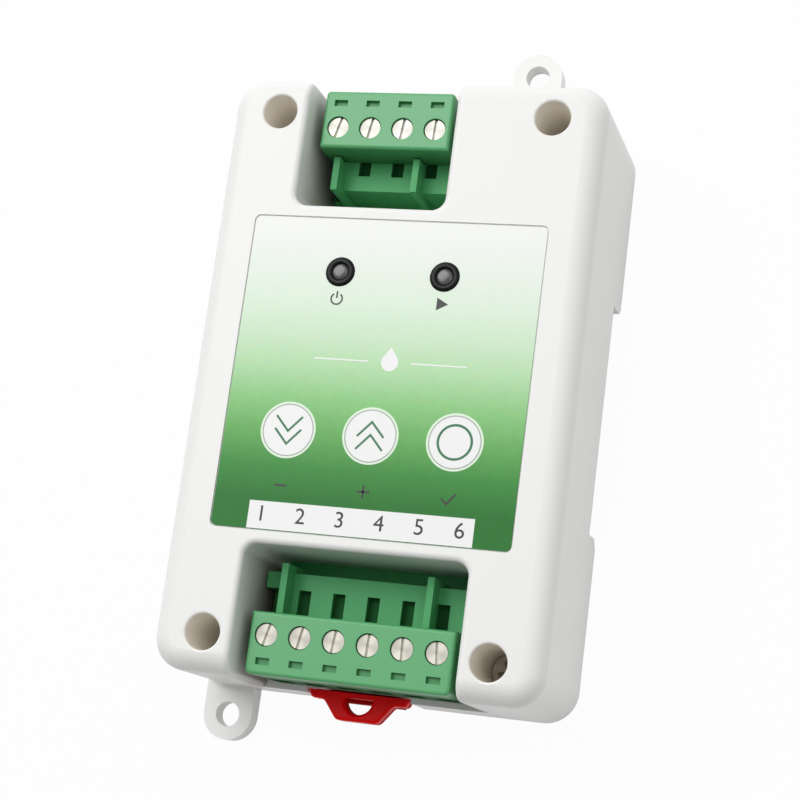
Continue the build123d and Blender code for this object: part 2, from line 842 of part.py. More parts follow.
# Cover screws with a cross recess
with BuildPart() as cover_screws:
    for x, y in screw_places:
        with Locations((x, y, seat_z + screw_head_height / 2)):
            Cylinder(screw_head_radius, screw_head_height)
        with Locations((x, y, seat_z - screw_length / 2)):
            Cylinder(screw_shank_radius, screw_length)
        for turn in (screw_slot_turn, screw_slot_turn + 90):
            with Locations(Location((x, y, seat_z + screw_head_height), (0, 0, turn))):
                Box(screw_slot_length, screw_slot_width, 2 * screw_slot_depth, mode=Mode.SUBTRACT)
cover_screws.part.label = "cover_screws"
export_step(cover_screws.part, "parts/cover_screws.step")

# Lamps and their black holders
holder_top = front_z + lamp_holder_proud
lamp_top = holder_top - lamp_sink
lamp_low = lamp_top - lamp_length
for name, (x, y) in zip(("power", "work"), lamp_places):
    spread = lamp_lead_spacing
    lamp_leads = [(x - spread / 2, y), (x + spread / 2, y)]
    with BuildPart() as holder:
        with BuildSketch(Plane.XY.offset(board_top)):
            with Locations((x, y)):
                Circle(lamp_holder_radius)
        extrude(amount=holder_top - board_top)
        with BuildSketch(Plane.XY.offset(board_top)):
            with Locations(*lamp_leads):
                Rectangle(lead_size + 2 * lead_fit, lead_size + 2 * lead_fit)
        extrude(amount=lamp_low - board_top, mode=Mode.SUBTRACT)
        with BuildSketch(Plane.XY.offset(lamp_low)):
            with Locations((x, y)):
                Circle(lamp_radius + lamp_fit)
        extrude(amount=holder_top - lamp_low, mode=Mode.SUBTRACT)
    holder.part.label = name + "_led_holder"
    export_step(holder.part, "parts/" + name + "_led_holder.step")
    with BuildPart() as lamp:
        with Locations((x, y, (lamp_low + lamp_top - lamp_radius) / 2)):
            Cylinder(lamp_radius, lamp_length - lamp_radius)
        with Locations((x, y, lamp_top - lamp_radius)):
            Sphere(lamp_radius)
        leads(lamp_leads, lead_size, lamp_low)
    lamp.part.label = name + "_led"
    export_step(lamp.part, "parts/" + name + "_led.step")

# Keys: a switch body on the board and a long plunger that ends under the film
key_body_top = board_top + key_body_height
key_top = label_z - key_film_gap
stem_low = key_body_top - key_stem_depth
for name, (x, y) in zip(("down", "up", "confirm"), key_places):
    with BuildPart() as switch:
        with Locations((x, y, board_top + key_body_height / 2)):
            Box(key_body, key_body, key_body_height)
        fillet(switch.edges().filter_by(Axis.Z), key_body_round)
        with Locations((x, y, (stem_low - key_travel + key_body_top) / 2)):
            Cylinder(
                key_stem_radius + key_stem_fit,
                key_body_top - stem_low + key_travel,
                mode=Mode.SUBTRACT,
            )
        for foot_x in (-1, 1):
            for foot_y in (-1, 1):
                place_x = x + foot_x * (key_body + key_foot_length) / 2
                place_y = y + foot_y * key_body / 4
                with Locations((place_x, place_y, board_top + key_foot_height / 2)):
                    Box(key_foot_length, key_foot_width, key_foot_height)
    switch.part.label = name + "_key_switch"
    export_step(switch.part, "parts/" + name + "_key_switch.step")
    with BuildPart() as plunger:
        with Locations((x, y, (stem_low + key_top) / 2)):
            Cylinder(key_stem_radius, key_top - stem_low)
        with Locations((x, y, key_top - key_head_height / 2)):
            Cylinder(key_head_radius, key_head_height)
    plunger.part.label = name + "_key_plunger"
    export_step(plunger.part, "parts/" + name + "_key_plunger.step")

# Two slim relays at the sides of the board
relay_leads = {}
for name, side in (("alarm", -1), ("control", 1)):
    x = side * relay_x
    relay_leads[name] = [(x, y * relay_length / 2) for y in (-0.85, -0.45, 0.35, 0.85)]
    with BuildPart() as relay:
        with Locations((x, 0, board_top + relay_height / 2)):
            Box(relay_width, relay_length, relay_height)
        fillet(relay.edges().filter_by(Axis.Z), relay_round)
        leads(relay_leads[name], lead_size, board_top + relay_height / 2)
    relay.part.label = name + "_relay"
    export_step(relay.part, "parts/" + name + "_relay.step")

# Smoothing capacitor: an upright can with a groove pressed in near its foot
capacitor_leads = [
    (capacitor_x, capacitor_y - capacitor_lead_spacing / 2),
    (capacitor_x, capacitor_y + capacitor_lead_spacing / 2),
]
with BuildPart() as smoothing_capacitor:
    with Locations((capacitor_x, capacitor_y, board_top + capacitor_height / 2)):
        Cylinder(capacitor_radius, capacitor_height)
    fillet(smoothing_capacitor.edges().filter_by(GeomType.CIRCLE), capacitor_round)
    with Locations((capacitor_x, capacitor_y, board_top + capacitor_groove_z)):
        Torus(capacitor_radius + capacitor_round / 2, capacitor_round, mode=Mode.SUBTRACT)
    leads(capacitor_leads, lead_size, board_top + capacitor_height / 2)
smoothing_capacitor.part.label = "smoothing_capacitor"
export_step(smoothing_capacitor.part, "parts/smoothing_capacitor.step")

# Chips, regulator, crystal, diodes and resistors laid flat on the board
with BuildPart() as controller_chip:
    chip_shape(controller_x, controller_y, controller_length, controller_width)
controller_chip.part.label = "controller_chip"
export_step(controller_chip.part, "parts/controller_chip.step")

with BuildPart() as driver_chip:
    chip_shape(driver_x, driver_y, driver_length, driver_width)
driver_chip.part.label = "driver_chip"
export_step(driver_chip.part, "parts/driver_chip.step")

with BuildPart() as voltage_regulator:
    with Locations((regulator_x, regulator_y, board_top + regulator_height / 2)):
        Box(regulator_length, regulator_width, regulator_height)
    tab_y = regulator_y + regulator_width / 2
    with Locations((regulator_x, tab_y, board_top + regulator_tab / 2)):
        Box(regulator_tab_width, 2 * regulator_tab_reach, regulator_tab)
    for step in (-1, 1):
        leg_y = regulator_y - regulator_width / 2
        with Locations((regulator_x + step * regulator_leg_x, leg_y, board_top + regulator_tab / 2)):
            Box(regulator_leg_width, 2 * regulator_tab_reach, regulator_tab)
voltage_regulator.part.label = "voltage_regulator"
export_step(voltage_regulator.part, "parts/voltage_regulator.step")

with BuildPart() as crystal:
    with BuildSketch(Plane.XY.offset(board_top)):
        with Locations((crystal_x, crystal_y)):
            SlotOverall(crystal_length, crystal_width)
    extrude(amount=crystal_height)
    fillet(crystal.faces().sort_by(Axis.Z)[-1].edges(), crystal_round)
crystal.part.label = "crystal"
export_step(crystal.part, "parts/crystal.step")

with BuildPart() as flyback_diodes:
    for step in (-1, 1):
        y = diode_y + step * diode_spacing / 2
        with Locations((diode_x, y, board_top + diode_height / 2)):
            Box(diode_length, diode_width, diode_height)
        with Locations((diode_x, y, board_top + diode_foot / 2)):
            Box(diode_length + 2 * diode_foot_reach, diode_foot_width, diode_foot)
flyback_diodes.part.label = "flyback_diodes"
export_step(flyback_diodes.part, "parts/flyback_diodes.step")

with BuildPart() as chip_resistors:
    with Locations((resistor_x, resistor_y, board_top + resistor_height / 2)):
        with GridLocations(resistor_step_x, resistor_step_y, 2, 3):
            Box(resistor_length, resistor_width, resistor_height)
chip_resistors.part.label = "chip_resistors"
export_step(chip_resistors.part, "parts/chip_resistors.step")

# Circuit board with a hole for every lead
with BuildPart() as circuit_board:
    with BuildSketch(Plane.XY.offset(board_z)):
        Rectangle(2 * board_half, 2 * board_shoulder)
        Rectangle(2 * end_half, 2 * board_end)
    extrude(amount=board_thickness)
    for name, poles, centre_x, side, back in terminals:
        for x in pole_places(poles, centre_x):
            through_hole(x, side * (back + pin_leg_inset + pin_size / 2), pin_size)
    for x, y in lamp_places:
        through_hole(x - lamp_lead_spacing / 2, y, lead_size)
        through_hole(x + lamp_lead_spacing / 2, y, lead_size)
    for x, y in relay_leads["alarm"] + relay_leads["control"] + capacitor_leads:
        through_hole(x, y, lead_size)
circuit_board.part.label = "circuit_board"
export_step(circuit_board.part, "parts/circuit_board.step")
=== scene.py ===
import math

import bmesh
import bpy
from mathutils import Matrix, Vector


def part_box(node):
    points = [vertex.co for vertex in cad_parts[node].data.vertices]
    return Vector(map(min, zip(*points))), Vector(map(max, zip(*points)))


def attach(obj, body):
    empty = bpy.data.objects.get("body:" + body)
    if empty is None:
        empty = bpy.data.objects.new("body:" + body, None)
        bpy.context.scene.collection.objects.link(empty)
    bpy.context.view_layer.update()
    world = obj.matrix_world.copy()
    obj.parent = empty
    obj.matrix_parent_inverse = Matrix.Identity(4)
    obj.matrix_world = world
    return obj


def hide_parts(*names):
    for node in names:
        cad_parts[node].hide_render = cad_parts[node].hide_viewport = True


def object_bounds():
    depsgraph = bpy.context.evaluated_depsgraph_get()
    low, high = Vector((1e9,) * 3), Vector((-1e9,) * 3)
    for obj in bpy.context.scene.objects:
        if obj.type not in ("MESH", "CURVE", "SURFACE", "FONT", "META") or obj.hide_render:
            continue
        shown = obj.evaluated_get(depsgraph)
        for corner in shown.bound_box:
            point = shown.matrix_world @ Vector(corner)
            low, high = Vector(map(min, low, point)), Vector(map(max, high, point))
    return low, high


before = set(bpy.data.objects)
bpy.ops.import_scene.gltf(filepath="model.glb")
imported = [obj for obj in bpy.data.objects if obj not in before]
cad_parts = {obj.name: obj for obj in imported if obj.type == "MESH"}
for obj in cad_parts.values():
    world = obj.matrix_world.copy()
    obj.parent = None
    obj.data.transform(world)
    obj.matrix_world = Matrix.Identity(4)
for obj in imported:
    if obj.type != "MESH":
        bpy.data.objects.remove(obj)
cad_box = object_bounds()

# The controller lies on its back on a pale table and is seen from the front,
# a little from the right and below, as a product shot from about 29 cm.
camera_place = (0.07921, -0.05852, 0.27047)
camera_turn = (0.98280964, 0.11148015, 0.13861464, 0.04943039)
camera_lens = 83.884
view = bpy.data.cameras.new("view")
view.lens = camera_lens
view.sensor_width = 36.0
view.clip_start = 0.01
view.clip_end = 10.0
viewer = bpy.data.objects.new("viewer", view)
viewer.rotation_mode = "QUATERNION"
viewer.rotation_quaternion = camera_turn
viewer.location = camera_place
bpy.context.scene.collection.objects.link(viewer)
bpy.context.scene.camera = viewer
bpy.context.scene.view_settings.view_transform = "Standard"


# The table is a wide sheet of matt white board that keeps the case's soft shadow,
# and shows plain white to the camera, in gloss and through clear parts.
def paint(red, green, blue):
    """A paint shade written as 0 to 255 values."""
    shades = []
    for value in (red, green, blue):
        value = value / 255
        shades.append(value / 12.92 if value <= 0.04045 else ((value + 0.055) / 1.055) ** 2.4)
    return (shades[0], shades[1], shades[2], 1.0)


def blank_material(name):
    """A new node material: its nodes, links and output."""
    material = bpy.data.materials.new(name)
    material.use_nodes = True
    material.node_tree.nodes.clear()
    output = material.node_tree.nodes.new("ShaderNodeOutputMaterial")
    return material, material.node_tree.nodes, material.node_tree.links, output


def maths(nodes, operation):
    """A node that does one sum."""
    node = nodes.new("ShaderNodeMath")
    node.operation = operation
    return node


def put_in_scene(name, shape, material):
    """Turn a bmesh into an object at the origin with this material."""
    mesh = bpy.data.meshes.new(name)
    shape.to_mesh(mesh)
    shape.free()
    mesh.materials.append(material)
    piece = bpy.data.objects.new(name, mesh)
    bpy.context.scene.collection.objects.link(piece)
    return piece


table_top = cad_box[0][2]
table_half_width = 2.0
board_shade = (0.8, 0.8, 0.8, 1.0)
plain_white_share = 0.96
table_paint, nodes, links, output = blank_material("table_paint")
board = nodes.new("ShaderNodeBsdfDiffuse")
board.inputs["Color"].default_value = board_shade
glare = nodes.new("ShaderNodeEmission")
glare.inputs["Strength"].default_value = 1.0
rays = nodes.new("ShaderNodeLightPath")
seen = maths(nodes, "MAXIMUM")
seen_through = maths(nodes, "MAXIMUM")
share = maths(nodes, "MULTIPLY")
share.inputs[1].default_value = plain_white_share
table_mix = nodes.new("ShaderNodeMixShader")
links.new(rays.outputs["Is Camera Ray"], seen.inputs[0])
links.new(rays.outputs["Is Glossy Ray"], seen.inputs[1])
links.new(seen.outputs[0], seen_through.inputs[0])
links.new(rays.outputs["Is Transmission Ray"], seen_through.inputs[1])
links.new(seen_through.outputs[0], share.inputs[0])
links.new(share.outputs[0], table_mix.inputs["Fac"])
links.new(board.outputs[0], table_mix.inputs[1])
links.new(glare.outputs[0], table_mix.inputs[2])
links.new(table_mix.outputs[0], output.inputs["Surface"])
shape = bmesh.new()
bmesh.ops.create_grid(shape, x_segments=1, y_segments=1, size=table_half_width)
bmesh.ops.translate(shape, verts=shape.verts, vec=(0, 0, table_top))
table = put_in_scene("table", shape, table_paint)


# The studio round the table is white beyond the four-way end and darker towards the
# viewer. A broad soft lamp stands at the upper left and a weak one at the right.
def spread(nodes, low, high, to_low=0.0, to_high=1.0):
    """A node that turns the values from low to high into those between two others."""
    node = nodes.new("ShaderNodeMapRange")
    node.inputs["From Min"].default_value = low
    node.inputs["From Max"].default_value = high
    node.inputs["To Min"].default_value = to_low
    node.inputs["To Max"].default_value = to_high
    return node


def softbox(name, place, aim, size, power):
    """A square lamp that faces the case."""
    lamp = bpy.data.lights.new(name, "AREA")
    lamp.shape = "SQUARE"
    lamp.size = size
    lamp.energy = power
    holder = bpy.data.objects.new(name, lamp)
    bpy.context.scene.collection.objects.link(holder)
    place = Vector(place)
    holder.location = place
    holder.rotation_euler = (Vector(aim) - place).to_track_quat("-Z", "Y").to_euler()


studio_far = 0.9
studio_near = 0.16
studio = bpy.data.worlds.new("studio")
bpy.context.scene.world = studio
studio.use_nodes = True
nodes = studio.node_tree.nodes
links = studio.node_tree.links
backdrop = nodes["Background"]
backdrop.inputs["Color"].default_value = (1.0, 1.0, 1.0, 1.0)
sky = nodes.new("ShaderNodeTexCoord")
sky_side = nodes.new("ShaderNodeSeparateXYZ")
sky_fall = spread(nodes, -1.0, 1.0, studio_near, studio_far)
links.new(sky.outputs["Generated"], sky_side.inputs[0])
links.new(sky_side.outputs["Y"], sky_fall.inputs["Value"])
links.new(sky_fall.outputs["Result"], backdrop.inputs["Strength"])
softbox("lamp_upper_left", (-0.55, 0.50, 1.15), (0, 0, 0), 0.8, 8.8)
softbox("lamp_right", (0.45, 0.15, 1.10), (0, 0, 0), 0.6, 1.2)

# The case is two mouldings of white plastic: a deep front cover and a shallow back
# with two ears. The plastic has a fine satin grain from the tool.
drift_size = 60.0
drift_detail = 4.0
least_roughness = 0.05
smoother = 0.05
rougher = 0.07
relief_depth = 0.00002
blend_width = 0.0006
brim_share = 0.93
dull_roughness = 0.9
hole_blend = 0.0001
# Painted warm light for the walls of the cover's screw holes, lighter than the plain white.
painted_hole_light = (0.985, 0.935, 0.85, 1.0)


def noise(nodes, size, detail=2.0):
    """A node with a cloudy pattern."""
    node = nodes.new("ShaderNodeTexNoise")
    node.inputs["Scale"].default_value = size
    node.inputs["Detail"].default_value = detail
    return node


def mixer(nodes, blend="MIX"):
    """A node that mixes two colours."""
    node = nodes.new("ShaderNodeMix")
    node.data_type = "RGBA"
    node.blend_type = blend
    return node


def bumps(nodes, links, height, strength, shader):
    """Raise the shader's surface a little where the height is greater."""
    node = nodes.new("ShaderNodeBump")
    node.inputs["Strength"].default_value = strength
    node.inputs["Distance"].default_value = relief_depth
    links.new(height, node.inputs["Height"])
    links.new(node.outputs["Normal"], shader.inputs["Normal"])


def deep_shade(nodes, links, place, colour, roughness, deep, side, holes):
    """Paint shade into a colour where it lies deep between other pieces.

    deep is the height where the painted shade is darkest, the height where it ends, the tints
    at the first and just under the second, and from which distance along Y they hold.
    Where side is None, the gloss fades as well. Otherwise the tints hold only that near
    to the middle along X, and holes is the place along X and Y and the radius of four
    deep holes, whose walls get a painted warm light instead.
    """
    low, high, bottom, brim, outwards = deep
    spot = nodes.new("ShaderNodeSeparateXYZ")
    depth = spread(nodes, low, high)
    fall = nodes.new("ShaderNodeValToRGB")
    fall.color_ramp.elements[0].color = (*bottom, 1.0)
    fall.color_ramp.elements[1].color = (1.0, 1.0, 1.0, 1.0)
    fall.color_ramp.elements.new(brim_share).color = (*brim, 1.0)
    away = maths(nodes, "ABSOLUTE")
    reach = spread(nodes, outwards, outwards + blend_width)
    dimmed = mixer(nodes, "MULTIPLY")
    links.new(place.outputs["Object"], spot.inputs[0])
    links.new(spot.outputs["Z"], depth.inputs["Value"])
    links.new(depth.outputs["Result"], fall.inputs["Fac"])
    links.new(spot.outputs["Y"], away.inputs[0])
    links.new(away.outputs[0], reach.inputs["Value"])
    links.new(colour, dimmed.inputs["A"])
    links.new(fall.outputs["Color"], dimmed.inputs["B"])
    if side is None:
        dulled = spread(nodes, low, high, dull_roughness)
        links.new(reach.outputs["Result"], dimmed.inputs["Factor"])
        links.new(spot.outputs["Z"], dulled.inputs["Value"])
        links.new(roughness, dulled.inputs["To Max"])
        return dimmed.outputs["Result"], dulled.outputs["Result"]
    sideways = maths(nodes, "ABSOLUTE")
    within = spread(nodes, side + blend_width, side)
    both = maths(nodes, "MULTIPLY")
    links.new(spot.outputs["X"], sideways.inputs[0])
    links.new(sideways.outputs[0], within.inputs["Value"])
    links.new(reach.outputs["Result"], both.inputs[0])
    links.new(within.outputs["Result"], both.inputs[1])
    links.new(both.outputs[0], dimmed.inputs["Factor"])
    along_x, along_y, radius = holes
    quadrant = nodes.new("ShaderNodeCombineXYZ")
    offset = nodes.new("ShaderNodeVectorMath")
    offset.operation = "SUBTRACT"
    offset.inputs[1].default_value = (along_x, along_y, 0)
    gap = nodes.new("ShaderNodeVectorMath")
    gap.operation = "LENGTH"
    near_hole = spread(nodes, radius + hole_blend, radius)
    # Painted warm light replaces the colour on the walls of the deep holes.
    hole_light_mix = mixer(nodes)
    hole_light_mix.inputs["B"].default_value = painted_hole_light
    links.new(sideways.outputs[0], quadrant.inputs["X"])
    links.new(away.outputs[0], quadrant.inputs["Y"])
    links.new(quadrant.outputs[0], offset.inputs[0])
    links.new(offset.outputs[0], gap.inputs[0])
    links.new(gap.outputs["Value"], near_hole.inputs["Value"])
    links.new(near_hole.outputs["Result"], hole_light_mix.inputs["Factor"])
    links.new(dimmed.outputs["Result"], hole_light_mix.inputs["A"])
    return hole_light_mix.outputs["Result"], roughness


def moulded_plastic(
    name,
    shade,
    gloss_roughness,
    grain=0.35,
    grain_size=9000.0,
    mottle=0.03,
    coat=0.0,
    gloss=0.5,
    deep=None,
    side=None,
    holes=None,
):
    """Moulded plastic with a fine grain, a faint drift of shade and uneven gloss."""
    material, nodes, links, output = blank_material(name)
    plastic = nodes.new("ShaderNodeBsdfPrincipled")
    place = nodes.new("ShaderNodeTexCoord")
    drift = noise(nodes, drift_size, drift_detail)
    tint = mixer(nodes)
    dark = [channel * (1 - mottle) for channel in shade[:3]] + [1.0]
    light = [min(1.0, channel * (1 + mottle)) for channel in shade[:3]] + [1.0]
    tint.inputs["A"].default_value = dark
    tint.inputs["B"].default_value = light
    fine = noise(nodes, grain_size)
    smoothest = max(least_roughness, gloss_roughness - smoother)
    sheen = spread(nodes, 0.0, 1.0, smoothest, gloss_roughness + rougher)
    links.new(place.outputs["Object"], drift.inputs["Vector"])
    links.new(place.outputs["Object"], fine.inputs["Vector"])
    links.new(drift.outputs["Fac"], tint.inputs["Factor"])
    links.new(drift.outputs["Fac"], sheen.inputs["Value"])
    colour = tint.outputs["Result"]
    roughness = sheen.outputs["Result"]
    if deep is not None:
        colour, roughness = deep_shade(nodes, links, place, colour, roughness, deep, side, holes)
    links.new(colour, plastic.inputs["Base Color"])
    links.new(roughness, plastic.inputs["Roughness"])
    bumps(nodes, links, fine.outputs["Fac"], grain, plastic)
    plastic.inputs["Specular IOR Level"].default_value = gloss
    plastic.inputs["Coat Weight"].default_value = coat
    plastic.inputs["Coat Roughness"].default_value = 0.12
    links.new(plastic.outputs[0], output.inputs["Surface"])
    return material


def dress(material, *names):
    """Give CAD pieces this finish."""
    for name in names:
        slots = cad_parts[name].material_slots
        for slot in slots:
            slot.material = material


case_white = moulded_plastic("case_white", paint(238, 238, 236), 0.38, mottle=0.012)
dress(case_white, "rear_base")
cover_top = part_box("front_cover")[1][2]
# The cover's colour gets painted shade in both wells: it darkens from just under the front face down
# to the wells' floor.
well_darkest = 0.0165
well_brim = 0.001
well_floor_shade = (0.36, 0.30, 0.27)
well_brim_shade = (0.97, 0.96, 0.95)
well_reach = 0.0270
well_half_width = 0.0176
well_depth = (
    cover_top - well_darkest,
    cover_top - well_brim,
    well_floor_shade,
    well_brim_shade,
    well_reach,
)
# The four screw holes whose walls get the painted warm light.
hole_x = 0.02105
hole_y = 0.03955
hole_radius = 0.00268
cover_white = moulded_plastic(
    "cover_white",
    paint(238, 238, 236),
    0.38,
    mottle=0.012,
    deep=well_depth,
    side=well_half_width,
    holes=(hole_x, hole_y, hole_radius),
)
dress(cover_white, "front_cover")

# The circuit board is green fibreglass with solder mask; it shows dark at the bottom
# of both wells, and the small parts stand on it.
board_green = moulded_plastic(
    "board_green", paint(26, 150, 72), 0.45, grain=0.2, grain_size=2500.0, mottle=0.1
)
dress(board_green, "circuit_board")

# The two sockets on the board are green plastic, a little deeper in shade than the
# plugs that push into them. Both get painted shade, darker further down, where little light comes.
fin_height = 0.0034
header_darkest = 0.0032
header_brim = 0.0002
header_floor_shade = (0.06, 0.16, 0.08)
header_brim_shade = (0.5, 0.7, 0.55)
header_reach = 0.0310
header_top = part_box("lower_header")[1][2] - fin_height
# Painted shade for the sockets, darkest near their floor.
header_depth = (
    header_top - header_darkest,
    header_top - header_brim,
    header_floor_shade,
    header_brim_shade,
    header_reach,
)
header_green = moulded_plastic(
    "header_green", paint(80, 168, 106), 0.45, grain=0.25, mottle=0.06, gloss=0.25, deep=header_depth
)
dress(header_green, "lower_header", "upper_header")
plug_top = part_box("lower_plug")[1][2]
# Painted shade for the plugs: a step just under the top face, then darker down to the foot.
plug_darkest = 0.008
plug_brim = 0.00008
plug_foot_shade = (0.06, 0.25, 0.12)
plug_brim_shade = (0.5, 0.74, 0.6)
plug_depth = (plug_top - plug_darkest, plug_top - plug_brim, plug_foot_shade, plug_brim_shade, 0.0)
plug_green = moulded_plastic(
    "plug_green", paint(91, 170, 111), 0.34, grain=0.25, mottle=0.05, gloss=0.5, deep=plug_depth
)
dress(plug_green, "lower_plug", "upper_plug")

# The clamp screws are plated steel with a faced head that carries a painted sheen, the cover screws
# are dull zinc, the contacts are tinned and the wire clamps are dark brass with fine stamping marks.
patch_size = 700.0
patch_shade = 0.82


def bright_metal(name, shade, roughness, streak=3000.0):
    """Plated metal with fine turning marks and small uneven patches."""
    material, nodes, links, output = blank_material(name)
    metal = nodes.new("ShaderNodeBsdfPrincipled")
    metal.inputs["Metallic"].default_value = 1.0
    place = nodes.new("ShaderNodeTexCoord")
    lines = nodes.new("ShaderNodeMapping")
    lines.inputs["Scale"].default_value = (1.0, 8.0, 1.0)
    marks = noise(nodes, streak, 3.0)
    wear = spread(nodes, 0.0, 1.0, roughness - 0.08, roughness + 0.12)
    patch = noise(nodes, patch_size)
    tint = mixer(nodes)
    tint.inputs["A"].default_value = [channel * patch_shade for channel in shade[:3]] + [1.0]
    tint.inputs["B"].default_value = shade
    links.new(place.outputs["Object"], lines.inputs["Vector"])
    links.new(lines.outputs["Vector"], marks.inputs["Vector"])
    links.new(place.outputs["Object"], patch.inputs["Vector"])
    links.new(patch.outputs["Fac"], tint.inputs["Factor"])
    links.new(tint.outputs["Result"], metal.inputs["Base Color"])
    links.new(marks.outputs["Fac"], wear.inputs["Value"])
    links.new(wear.outputs["Result"], metal.inputs["Roughness"])
    bumps(nodes, links, marks.outputs["Fac"], 0.25, metal)
    links.new(metal.outputs[0], output.inputs["Surface"])
    return material


def middle(node):
    """The middle of a CAD piece along X and Y."""
    low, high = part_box(node)
    return ((low[0] + high[0]) / 2, (low[1] + high[1]) / 2)


pole_pitch = 0.00508
head_radius = 0.00158
lobe_count = 2.0
lobe_turn = 0.5
sheen_lobe_shade = 0.72
smudge_size = 500.0


def turned_steel(name, row, shade, roughness):
    """Plated screws in a row: each head is faced on a lathe, and a two-lobed sheen is painted into its
    colour.
    """
    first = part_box(row)[0][0] + head_radius
    material, nodes, links, output = blank_material(name)
    metal = nodes.new("ShaderNodeBsdfPrincipled")
    metal.inputs["Metallic"].default_value = 0.35
    metal.inputs["Roughness"].default_value = roughness
    place = nodes.new("ShaderNodeTexCoord")
    spot = nodes.new("ShaderNodeSeparateXYZ")
    along = maths(nodes, "WRAP")
    along.inputs[1].default_value = first - pole_pitch / 2
    along.inputs[2].default_value = first + pole_pitch / 2
    across_x = maths(nodes, "SUBTRACT")
    across_x.inputs[1].default_value = first
    across_y = maths(nodes, "SUBTRACT")
    across_y.inputs[1].default_value = middle(row)[1]
    # A painted two-lobed sheen round each head's middle, with random smudges on top.
    angle = maths(nodes, "ARCTAN2")
    turns = maths(nodes, "MULTIPLY_ADD")
    turns.inputs[1].default_value = lobe_count
    turns.inputs[2].default_value = lobe_turn
    lobes = maths(nodes, "COSINE")
    painted_sheen = spread(nodes, -1.0, 1.0, 1.0, sheen_lobe_shade)
    smudge = noise(nodes, smudge_size)
    smudged = spread(nodes, 0.0, 1.0, 0.8, 1.15)
    sheen = maths(nodes, "MULTIPLY")
    tint = mixer(nodes, "MULTIPLY")
    tint.inputs["Factor"].default_value = 1.0
    tint.inputs["A"].default_value = shade
    links.new(place.outputs["Object"], spot.inputs[0])
    links.new(place.outputs["Object"], smudge.inputs["Vector"])
    links.new(spot.outputs["X"], along.inputs[0])
    links.new(along.outputs[0], across_x.inputs[0])
    links.new(spot.outputs["Y"], across_y.inputs[0])
    links.new(across_y.outputs[0], angle.inputs[0])
    links.new(across_x.outputs[0], angle.inputs[1])
    links.new(angle.outputs[0], turns.inputs[0])
    links.new(turns.outputs[0], lobes.inputs[0])
    links.new(lobes.outputs[0], painted_sheen.inputs["Value"])
    links.new(smudge.outputs["Fac"], smudged.inputs["Value"])
    links.new(painted_sheen.outputs["Result"], sheen.inputs[0])
    links.new(smudged.outputs["Result"], sheen.inputs[1])
    links.new(sheen.outputs[0], tint.inputs["B"])
    links.new(tint.outputs["Result"], metal.inputs["Base Color"])
    links.new(metal.outputs[0], output.inputs["Surface"])
    dress(material, row)


turned_steel("lower_screw_steel", "lower_plug_screws", paint(228, 224, 212), 0.5)
turned_steel("upper_screw_steel", "upper_plug_screws", paint(228, 226, 216), 0.42)
screw_zinc = moulded_plastic("screw_zinc", paint(206, 194, 180), 0.5, mottle=0.12)
dress(screw_zinc, "cover_screws")
tinned_metal = bright_metal("tinned_metal", paint(205, 205, 200), 0.38)
dress(tinned_metal, "lower_header_pins", "upper_header_pins", "crystal")
clamp_brass = bright_metal("clamp_brass", paint(64, 60, 50), 0.5)
dress(clamp_brass, "lower_plug_clamps", "upper_plug_clamps")

# The rail clip is a red moulding that slides in the back and shows its bar and
# finger handle below the case.
clip_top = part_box("rail_clip")[1][2]
# Painted shade darkens the clip below its face, down its sides.
clip_darkest = 0.003
clip_brim = 0.0004
clip_foot_shade = (0.5, 0.3, 0.3)
clip_brim_shade = (0.9, 0.8, 0.8)
clip_depth = (clip_top - clip_darkest, clip_top - clip_brim, clip_foot_shade, clip_brim_shade, 0.0)
clip_red = moulded_plastic(
    "clip_red", paint(255, 8, 12), 0.3, grain=0.2, mottle=0.06, gloss=0.12, deep=clip_depth
)
dress(clip_red, "rail_clip")


# Each lamp is a small grey resin light in a black tube that stands on the board
# and comes up through the film. The tube's mouth is rounded over the lens.
def turned(name, centre, outline, material, steps=64):
    """A piece turned about an upright axis from the points of half its section."""
    shape = bmesh.new()
    points = [shape.verts.new((centre[0] + reach, centre[1], level)) for reach, level in outline]
    edges = [shape.edges.new(pair) for pair in zip(points, points[1:])]
    bmesh.ops.spin(
        shape,
        geom=points + edges,
        cent=(centre[0], centre[1], 0),
        axis=(0, 0, 1),
        dvec=(0, 0, 0),
        angle=2 * math.pi,
        steps=steps,
        use_merge=True,
    )
    bmesh.ops.remove_doubles(shape, verts=shape.verts, dist=0.000002)
    bmesh.ops.recalc_face_normals(shape, faces=shape.faces)
    for face in shape.faces:
        face.smooth = True
    piece = put_in_scene(name, shape, material)
    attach(piece, "case")
    return piece


def quarter(start, end, count=6):
    """Points of a quarter ellipse from one point round to the other."""
    points = []
    for i in range(count + 1):
        turn = math.pi / 2 * i / count
        reach = end[0] + (start[0] - end[0]) * math.cos(turn)
        level = start[1] + (end[1] - start[1]) * math.sin(turn)
        points.append((reach, level))
    return points


